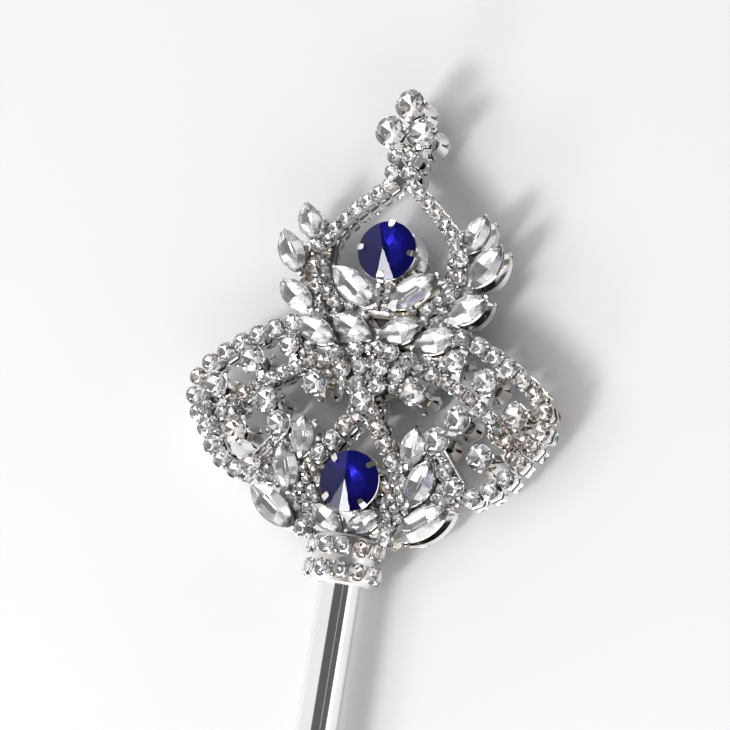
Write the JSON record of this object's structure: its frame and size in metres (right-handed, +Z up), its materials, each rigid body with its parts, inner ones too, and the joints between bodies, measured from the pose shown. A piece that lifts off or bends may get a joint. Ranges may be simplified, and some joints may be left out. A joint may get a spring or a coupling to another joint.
{
  "type": "sceptre",
  "caption": "Slim silver-plated sceptre with a crown-shaped openwork head of two back-to-back panels set with clear crystals and deep blue cone stones.",
  "frame": {"origin": "under the middle of the sceptre's whole length, on the surface that it lies on", "axes": "+Y along the rod towards the head's tip, +Z up out of the front panel, +X across the head"},
  "size_m": [0.0924, 0.4004, 0.0198],
  "materials": {
    "silver": "polished silver plate",
    "crystal": "clear faceted crystal with a foil back",
    "blue_stone": "deep blue faceted crystal with a foil back"
  },
  "bodies": {
    "root": {"blue_lower_back": "blue_stone", "blue_lower_front": "blue_stone", "blue_upper_back": "blue_stone", "blue_upper_front": "blue_stone", "bough_leaf_high_left_back": "crystal", "bough_leaf_high_left_front": "crystal", "bough_leaf_high_right_back": "crystal", "bough_leaf_high_right_front": "crystal", "bough_leaf_middle_left_back": "crystal", "bough_leaf_middle_left_front": "crystal", "bough_leaf_middle_right_back": "crystal", "bough_leaf_middle_right_front": "crystal", "bough_leaf_wing_left_back": "crystal", "bough_leaf_wing_left_front": "crystal", "bough_leaf_wing_right_back": "crystal", "bough_leaf_wing_right_front": "crystal", "collar": "silver", "crown_leaf_high_left_back": "crystal", "crown_leaf_high_left_front": "crystal", "crown_leaf_high_right_back": "crystal", "crown_leaf_high_right_front": "crystal", "crown_leaf_low_left_back": "crystal", "crown_leaf_low_left_front": "crystal", "crown_leaf_low_right_back": "crystal", "crown_leaf_low_right_front": "crystal", "crown_leaf_middle_left_back": "crystal", "crown_leaf_middle_left_front": "crystal", "crown_leaf_middle_right_back": "crystal", "crown_leaf_middle_right_front": "crystal", "end_knob": "silver", "finial_left_back": "crystal", "finial_left_front": "crystal", "finial_right_back": "crystal", "finial_right_front": "crystal", "finial_top_back": "crystal", "finial_top_front": "crystal", "foot_leaf_left_back": "crystal", "foot_leaf_left_front": "crystal", "foot_leaf_right_back": "crystal", "foot_leaf_right_front": "crystal", "lotus_petal_left_back": "crystal", "lotus_petal_left_front": "crystal", "lotus_petal_right_back": "crystal", "lotus_petal_right_front": "crystal", "panel_back": "silver", "panel_front": "silver", "rod": "silver", "waist_leaf_inner_left_back": "crystal", "waist_leaf_inner_left_front": "crystal", "waist_leaf_inner_right_back": "crystal", "waist_leaf_inner_right_front": "crystal", "waist_leaf_outer_left_back": "crystal", "waist_leaf_outer_left_front": "crystal", "waist_leaf_outer_right_back": "crystal", "waist_leaf_outer_right_front": "crystal"}
  },
  "joints": []
}
